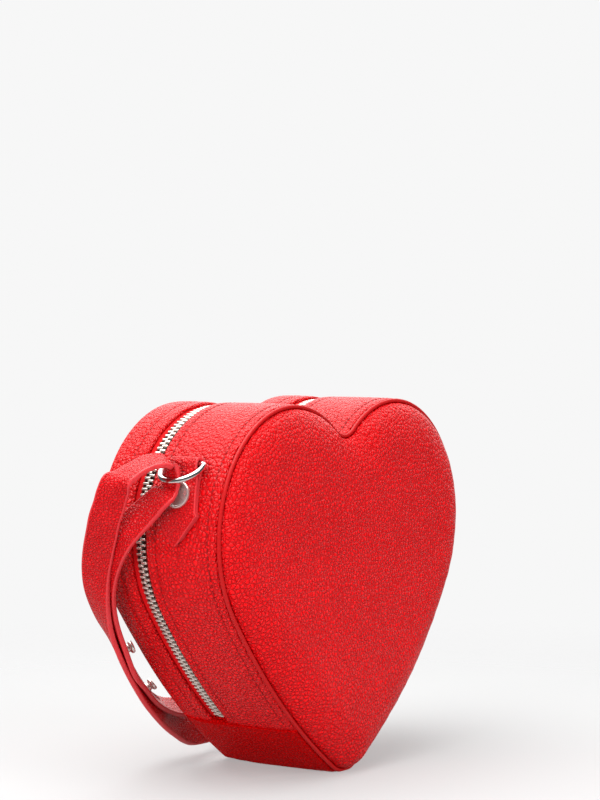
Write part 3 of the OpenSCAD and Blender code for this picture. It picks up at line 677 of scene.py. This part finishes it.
def ribbon(bm, places):
    """Leads a flat section with round edges along (place, across, half width, half thickness)."""
    loop, edges = None, None
    for i, (p, across, half, thick) in enumerate(places):
        t = (places[min(i + 1, len(places) - 1)][0] - places[max(i - 1, 0)][0]).normalized()
        w = (across - t * across.dot(t)).normalized()
        n = t.cross(w)
        r = min(thick, half) * 0.62
        row = []
        for sw, sn, a0 in ((1, 1, 0), (-1, 1, 90), (-1, -1, 180), (1, -1, 270)):
            for k in range(5):
                c = math.radians(a0 + 22.5 * k)
                row.append(p + w * (sw * (half - r) + r * math.cos(c))
                           + n * (sn * (thick - r) + r * math.sin(c)))
            if sw * sn > 0:
                row += [p + w * (sw * (half - r) * k) + n * sn * thick
                        for k in (0.6, 0.2, -0.2, -0.6)]
        if loop is None:
            loop = [bm.verts.new(c) for c in row]
            edges = [bm.edges.new((a, b)) for a, b in zip(loop, loop[1:] + loop[:1])]
            bmesh.ops.edgeloop_fill(bm, edges=edges, mat_nr=1)
            continue
        made = bmesh.ops.extrude_edge_only(bm, edges=edges)["geom"]
        new = set(verts_of(made))
        grown = [next(e.other_vert(v) for e in v.link_edges if e.other_vert(v) in new)
                 for v in loop]
        for v, c in zip(grown, row):
            v.co = c
        loop = grown
        edges = [bm.edges.get((a, b)) for a, b in zip(loop, loop[1:] + loop[:1])]
        for j, e in enumerate(edges):
            e.link_faces[0].material_index = j in EDGE_PAINT_SIDES
    bmesh.ops.edgeloop_fill(bm, edges=edges, mat_nr=1)


strap_leather = pebbled("strap_leather", STRAP_RED, pebble=1.3, depth=0.34)
edge_paint = smooth_finish("edge_paint", EDGE_RED, 0.34, 500.0, 0.03)

# Path of the leather: up the outer layer, round the bar, and down the inner layer
BAR = around(BAR_A, TAB_R0 + ROLL_R)
outer_r = TAB_R0 + 1.5 * TAB_T + 0.03
inner_r = TAB_R0 + 0.5 * TAB_T
roll = ROLL_R - TAB_T / 2
downs = [TAB_L - 0.4 * i for i in range(6)]
downs += [TAB_L - TAB_TIP - i for i in range(int(TAB_L - TAB_TIP - PART_DOWN))]
path = [(down_lobe(d, outer_r), d) for d in downs]
close = down_lobe(PART_DOWN, outer_r)
turn = slope(close - BAR) + math.acos(roll / (close - BAR).length)
touch = around(turn, roll, BAR)
path += [(close.lerp(touch, k / 8), PART_DOWN * (1 - k / 8)) for k in range(8)]
path += [(around(turn + (BAR_A + math.pi - turn) * k / 22, roll, BAR), 0) for k in range(23)]
path += [(down_lobe(d, inner_r), d) for d in range(1, int(TAB_L - TAB_TIP) + 1)]
for name, side in (("left_tab", -1), ("right_tab", 1)):
    bm = bmesh.new()
    ribbon(bm, [(Vector((side * p.x, TAB_Y, p.z)), Vector((0, 1, 0)), tab_half(d), TAB_T / 2)
                for p, d in path])
    tab = finish(bm, name + "_leather", strap_leather, edge_paint)
    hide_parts(name)
    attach(tab, "front_half")

# Tab studs
# A turned metal stud goes through both layers of each tab, near the tab's point. Its plain middle
# lies inside a raised rim.
STUD_R = 6.0
STUD_DOWN = 13.8
STUD_METAL = (0.88, 0.84, 0.80)
STUD_PROFILE = [(0, -0.5), (STUD_R - 0.4, -0.5), (STUD_R, -0.1), (STUD_R, 0.7)]
STUD_PROFILE += arc(STUD_R - 0.45, 0.75, 0.45, 0, 180, 9)
STUD_PROFILE += [(STUD_R - 1.3, 0.55), (STUD_R - 2, 0.52), (0, 0.52)]


def turned(profile, steps=48):
    """A template spun from a profile of (radius, height) round the Z axis."""
    bm = bmesh.new()
    vs = [bm.verts.new((r, 0, h)) for r, h in profile]
    es = [bm.edges.new(pair) for pair in zip(vs, vs[1:])]
    bmesh.ops.spin(bm, geom=vs + es, cent=(0, 0, 0), axis=(0, 0, 1), angle=2 * math.pi,
                   steps=steps, use_merge=True)
    bmesh.ops.remove_doubles(bm, verts=bm.verts, dist=1e-4)
    return template(bm)


way = down_lobe(STUD_DOWN, 1, Vector())
seat = LOBE_C + way * (TAB_R0 + 2 * TAB_T + 0.05)
stud_metal = bright("stud_metal", STUD_METAL, 0.30, 0.85)
frames = [set_on(Vector((side * seat.x, 0, seat.z)), Vector((side * way.x, 0, way.z)), TAB_Y)
          for side in (-1, 1)]
tab_studs = finish(copies(turned(STUD_PROFILE), frames), "tab_stud_heads", stud_metal)
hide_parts("tab_studs")
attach(tab_studs, "front_half")

# Rings
# Each D-ring is one bent wire, polished: a straight bar held by the tab, and a round bow that
# droops outwards and carries the strap.
BOW_R = 10.0
BOW_IN = 3.6
DROOP = math.radians(30)
BAR_WIRE_R = 1.33
BOW_WIRE_R = 1.3
bow_a = math.acos(-BOW_IN / BOW_R)
bar_half = BOW_R * math.sin(bow_a)

# Points along the wire with its radius there: the bow, a corner, the bar and the other corner
line = [(BOW_IN + BOW_R * math.cos(t), BOW_R * math.sin(t), BOW_WIRE_R)
        for t in [bow_a * k / 36 for k in range(-35, 36)]]
line += [(0.30, bar_half - 0.30, BOW_WIRE_R), (0.05, bar_half - 0.9, BAR_WIRE_R)]
line += [(0, bar_half - 1.6 - (bar_half - 1.6) * k / 6, BAR_WIRE_R) for k in range(13)]
line += [(0.05, 0.9 - bar_half, BAR_WIRE_R), (0.30, 0.30 - bar_half, BOW_WIRE_R)]
for name, side in (("left_ring", -1), ("right_ring", 1)):
    place = Matrix.Translation((side * BAR.x, TAB_Y, BAR.z)) \
        @ Matrix.Rotation(side * DROOP, 4, "Y") @ Matrix.Diagonal((side, 1, 1, 1))
    bm = bmesh.new()
    hoops = []
    for i, (x, y, r) in enumerate(line):
        ahead = Vector(line[(i + 1) % len(line)][:2]) - Vector(line[i - 1][:2])
        hoop = Matrix.Translation((x, y, 0)) \
            @ Matrix.Rotation(math.atan2(ahead.y, ahead.x), 4, "Z") \
            @ Matrix.Rotation(math.pi / 2, 4, "Y")
        made = bmesh.ops.create_circle(bm, segments=24, radius=r, matrix=place @ hoop)
        hoops.append(list({e for v in made["verts"] for e in v.link_edges}))
    for a, b in zip(hoops, hoops[1:] + hoops[:1]):
        bmesh.ops.bridge_loops(bm, edges=a + b)
    ring = finish(bm, name + "_wire", polished)
    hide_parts(name)
    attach(ring, name)

# Strap
# One narrow strap of two leather layers with painted edges. Each end comes up through its ring and
# lies back along the strap, and the middle rests behind the bag.

# Rows of the left half: a place in shares of the bag, the direction across, a share of the width
ROUTE_SHARES = [
    (0.345, 0.961, 0.172, 0, 0.87, 0.49, 1), (0.602, 0.947, 0.182, 0, 0.87, 0.49, 1),
    (0.793, 0.915, 0.201, 0.02, 0.86, 0.51, 1), (0.939, 0.868, 0.228, 0.05, 0.84, 0.54, 1),
    (1.05, 0.805, 0.266, 0.14, 0.8, 0.58, 1), (1.126, 0.738, 0.322, 0.14, 0.79, 0.6, 1),
    (1.173, 0.679, 0.38, 0.3, 0.78, 0.55, 1), (1.134, 0.65, 0.461, 0.45, 0.79, 0.42, 1),
    (1.11, 0.642, 0.554, 0.3, 0.9, 0.3, 1), (1.101, 0.598, 0.646, 0, 0.94, 0.34, 1),
    (1.117, 0.489, 0.737, -0.18, 0.85, 0.5, 1), (1.132, 0.341, 0.823, -0.09, 0.75, 0.65, 1),
    (1.042, 0.176, 0.9, 0.2, 0.72, 0.67, 0.97), (1.032, 0.119, 0.925, 0.24, 0.71, 0.66, 0.94),
    (1.027, 0.081, 0.942, 0.28, 0.72, 0.64, 0.91), (1.016, 0.048, 0.956, 0.29, 0.76, 0.58, 0.88),
    (1.002, 0.039, 0.962, 0.25, 0.87, 0.42, 0.76), (0.979, 0.039, 0.974, 0.11, 0.96, 0.24, 0.68),
    (0.967, 0.034, 0.988, 0.03, 1, 0.08, 0.62), (0.963, 0.032, 1.007, 0, 1, 0.06, 0.6),
    (0.964, 0.041, 1.032, 0.15, 0.96, 0.22, 0.66), (0.97, 0.056, 1.052, 0.42, 0.83, 0.36, 0.75),
    (0.995, 0.064, 1.062, 0.62, 0.7, 0.34, 0.83), (1.024, 0.091, 1.062, 0.7, 0.62, 0.34, 0.92),
    (1.045, 0.131, 1.056, 0.63, 0.7, 0.32, 0.98), (1.085, 0.169, 1.042, 0.4, 0.9, 0.19, 1),
    (1.127, 0.205, 1.023, 0.05, 1, 0.02, 1), (1.165, 0.242, 1, -0.25, 0.97, -0.03, 1),
    (1.168, 0.286, 0.962, -0.4, 0.89, 0.22, 1), (1.247, 0.328, 0.925, -0.46, 0.84, 0.3, 1),
    (1.224, 0.375, 0.882, -0.48, 0.81, 0.33, 1), (1.192, 0.427, 0.838, -0.48, 0.82, 0.31, 1),
    (1.161, 0.499, 0.776, -0.38, 0.87, 0.31, 1), (1.139, 0.57, 0.709, -0.19, 0.94, 0.29, 1),
    (1.134, 0.62, 0.639, 0.03, 0.96, 0.27, 1), (1.143, 0.653, 0.57, 0.27, 0.91, 0.31, 1),
    (1.162, 0.67, 0.504, 0.44, 0.81, 0.39, 1), (1.164, 0.679, 0.443, 0.53, 0.65, 0.54, 1),
    (1.167, 0.697, 0.384, 0.54, 0.57, 0.62, 1), (1.17, 0.726, 0.328, 0.49, 0.57, 0.66, 1),
    (1.162, 0.76, 0.278, 0.43, 0.56, 0.71, 1), (1.134, 0.793, 0.234, 0.38, 0.54, 0.75, 1),
    (1.077, 0.824, 0.195, 0.35, 0.46, 0.81, 1), (1.014, 0.875, 0.159, 0.24, 0.56, 0.79, 1),
    (0.881, 0.908, 0.129, 0.23, 0.51, 0.83, 1), (0.729, 0.93, 0.106, 0, 0.38, 0.92, 1),
    (0.44, 0.948, 0.088, 0, 0.28, 0.96, 1), (0, 0.952, 0.084, 0, 0.22, 0.98, 1)]
RING_ROWS = range(12, 29)
STRAP_W = 14.0
STRAP_T = 2.4
BAG_D = BACK_SEAM_Y - FRONT_SEAM_Y
LOW_CLEAR = 0.1
SMOOTH_STEPS = 7
BOW = BAR + (BOW_IN + BOW_R) * Vector((math.cos(DROOP), 0, -math.sin(DROOP)))
WIDEST_Z = around(LOBE_A, FLANK_R, FLANK_C).z


def half_width(z):
    """The bag's half width at a height."""
    if z > WIDEST_Z:
        return LOBE_C.x + math.sqrt(LOBE_R ** 2 - (z - LOBE_C.z) ** 2)
    return FLANK_C.x + math.sqrt(FLANK_R ** 2 - (z - FLANK_C.z) ** 2)


def between(p, q, r, s, t):
    """A value part way from q to r, on a smooth curve through p, q, r and s."""
    return 0.5 * (2 * q + (r - p) * t + (2 * p - 5 * q + 4 * r - s) * t * t
                  + (3 * q - p - 3 * r + s) * t ** 3)


rows = []
for k, (x, y, z, wx, wy, wz, share) in enumerate(ROUTE_SHARES):
    x *= BOW.x if k in RING_ROWS else half_width(z * BOW.z)
    rows.append((-x, y * BAG_D + TAB_Y, z * BOW.z, wx, wy, wz, share * STRAP_W / 2))
rows += [(-x, y, z, -wx, wy, wz, half) for x, y, z, wx, wy, wz, half in rows[-2::-1]]
ribs = []
for i in range(len(rows) - 1):
    a, b, c, d = (rows[min(max(i + k, 0), len(rows) - 1)] for k in (-1, 0, 1, 2))
    for j in range(SMOOTH_STEPS):
        ribs.append([between(*four, j / SMOOTH_STEPS) for four in zip(a, b, c, d)])
ribs.append(list(rows[-1]))

# Where the strap would sink into the floor it is lifted onto it
places = []
for x, y, z, wx, wy, wz, half in ribs:
    low = z - abs(wz) * half - STRAP_T / 2 * math.sqrt(max(0, 1 - wz * wz))
    place = Vector((x, y, z + max(0, LOW_CLEAR - low)))
    places.append((place, Vector((wx, wy, wz)), half, STRAP_T / 2))
bm = bmesh.new()
ribbon(bm, places)
strap = finish(bm, "strap_band", strap_leather, edge_paint)
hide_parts("strap")
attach(strap, "front_half")

# Strap studs
# Two turned metal studs close each end of the strap on itself. Their round heads are towards the
# bag, on a narrower neck.
KNOB_ROWS = (4.35, 6.65)
KNOB_PROFILE = [(0, 0), (2.4, 0), (2.4, 0.5), (1.9, 0.8), (1.8, 1.5), (2.3, 1.8), (2.8, 2.1),
                (3.0, 2.5), (3.0, 3.1), (2.75, 3.55), (2.0, 3.75), (0, 3.8)]
frames = []
for k in KNOB_ROWS:
    i = round(k * SMOOTH_STEPS)
    p, across = places[i][:2]
    t = (places[i + 1][0] - places[i - 1][0]).normalized()
    n = -t.cross((across - t * across.dot(t)).normalized())
    seat = p + n * (STRAP_T / 2 + 0.02)
    for side in (1, -1):
        seat, n, t = (Vector((side * v.x, v.y, v.z)) for v in (seat, n, t))
        m = Matrix((t, n.cross(t), n)).transposed().to_4x4()
        m.translation = seat
        frames.append(m)
strap_studs = finish(copies(turned(KNOB_PROFILE, 28), frames), "strap_stud_heads", stud_metal)
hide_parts("strap_studs")
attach(strap_studs, "front_half")

# Stage
# A pale floor fades into a pale backdrop, under soft studio light. The room on the camera's side
# is darker than the backdrop, so that gloss has something to show.
PALE = 0.93
AMBIENT = 0.60
FLOOR_TONE = 0.50
FLOOR_CLEAR = 0.36
SIDE_TONE = 0.10
GLOW = 2.5
FLOOR_SIZE = 6000.0
FLOOR_Z = -0.05
BACK_WAY = (0.66, 0.44, 0.61)
AIM = Vector((0, 0, 0.09))
WHITE = (1, 1, 1, 1)
floor_mat, tree, shader = material("floor_white", (FLOOR_TONE,) * 3, 0.9, 0.0)
at = add(tree, "TexCoord").outputs["Object"]
far = add(tree, "VectorMath", [(0, at)], operation="LENGTH")
fade = add(tree, "MapRange", [("Value", far.outputs["Value"])],
           [("From Min", 0.20), ("From Max", 0.55), ("To Min", FLOOR_CLEAR)],
           interpolation_type="SMOOTHSTEP")
clear = add(tree, "BsdfTransparent")
haze = add(tree, "MixShader",
           [(0, fade.outputs[0]), (1, shader.outputs[0]), (2, clear.outputs[0])])
tree.links.new(haze.outputs[0], tree.nodes["Material Output"].inputs["Surface"])
bm = bmesh.new()
bmesh.ops.create_grid(bm, x_segments=1, y_segments=1, size=FLOOR_SIZE / 2,
                      matrix=Matrix.Translation((0, 0, FLOOR_Z)))
finish(bm, "floor", floor_mat, smooth=False)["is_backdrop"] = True

world = bpy.data.worlds.new("studio")
bpy.context.scene.world = world
world.use_nodes = True
tree = world.node_tree
rays = add(tree, "LightPath").outputs
way = add(tree, "TexCoord").outputs["Generated"]
way = add(tree, "VectorMath", [(0, way)], [(1, BACK_WAY)], operation="DOT_PRODUCT")
tone = add(tree, "MapRange", [("Value", way.outputs["Value"])],
           [("From Min", 0.60), ("From Max", 1.0), ("To Min", SIDE_TONE), ("To Max", GLOW)],
           interpolation_type="SMOOTHSTEP")
ambient = tree.nodes["Background"]
ambient.inputs["Color"].default_value = WHITE
ambient.inputs["Strength"].default_value = AMBIENT
room = add(tree, "Background", [("Strength", tone.outputs[0])], [("Color", WHITE)])
backdrop = add(tree, "Background", values=[("Color", WHITE), ("Strength", PALE)])
glossy = add(tree, "MixShader",
             [(0, rays["Is Glossy Ray"]), (1, ambient.outputs[0]), (2, room.outputs[0])])
direct = add(tree, "Math", [(0, rays["Is Camera Ray"]), (1, rays["Is Transmission Ray"])],
             operation="MAXIMUM")
seen = add(tree, "MixShader",
           [(0, direct.outputs[0]), (1, glossy.outputs[0]), (2, backdrop.outputs[0])])
tree.links.new(seen.outputs[0], tree.nodes["World Output"].inputs["Surface"])

for name, place, size, power in (("top_light", (-0.20, 0.15, 1.10), (1.4, 1.1), 22.5),
                                 ("front_light", (0.10, -1.50, 0.60), (1.0, 1.0), 16.0),
                                 ("left_light", (-1.30, -0.10, 0.14), (0.8, 0.6), 11.5)):
    lamp = bpy.data.lights.new(name, "AREA")
    lamp.shape = "RECTANGLE"
    lamp.size, lamp.size_y = size
    lamp.energy = power
    light = bpy.data.objects.new(name, lamp)
    bpy.context.collection.objects.link(light)
    light.location = place
    light.visible_glossy = name == "top_light"
    light.rotation_mode = "QUATERNION"
    light.rotation_quaternion = (AIM - Vector(place)).to_track_quat("-Z", "Y")

# Camera
# The photograph's viewing angle: low, on the bag's left, with a third of the front in view. It has
# no shift and no depth of field.
CAMERA_AT = (-0.9672, -0.6487, 0.2151)
CAMERA_TILT = 87.765
CAMERA_TURN = -56.423
camera = bpy.data.cameras.new("camera")
camera.sensor_width = 36.0
camera.lens = 112.987
camera.clip_start, camera.clip_end = 0.05, 20
view = bpy.data.objects.new("camera", camera)
bpy.context.collection.objects.link(view)
view.location = CAMERA_AT
view.rotation_euler = (math.radians(CAMERA_TILT), 0, math.radians(CAMERA_TURN))
bpy.context.scene.camera = view
bpy.context.scene.view_settings.view_transform = "Standard"

low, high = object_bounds()
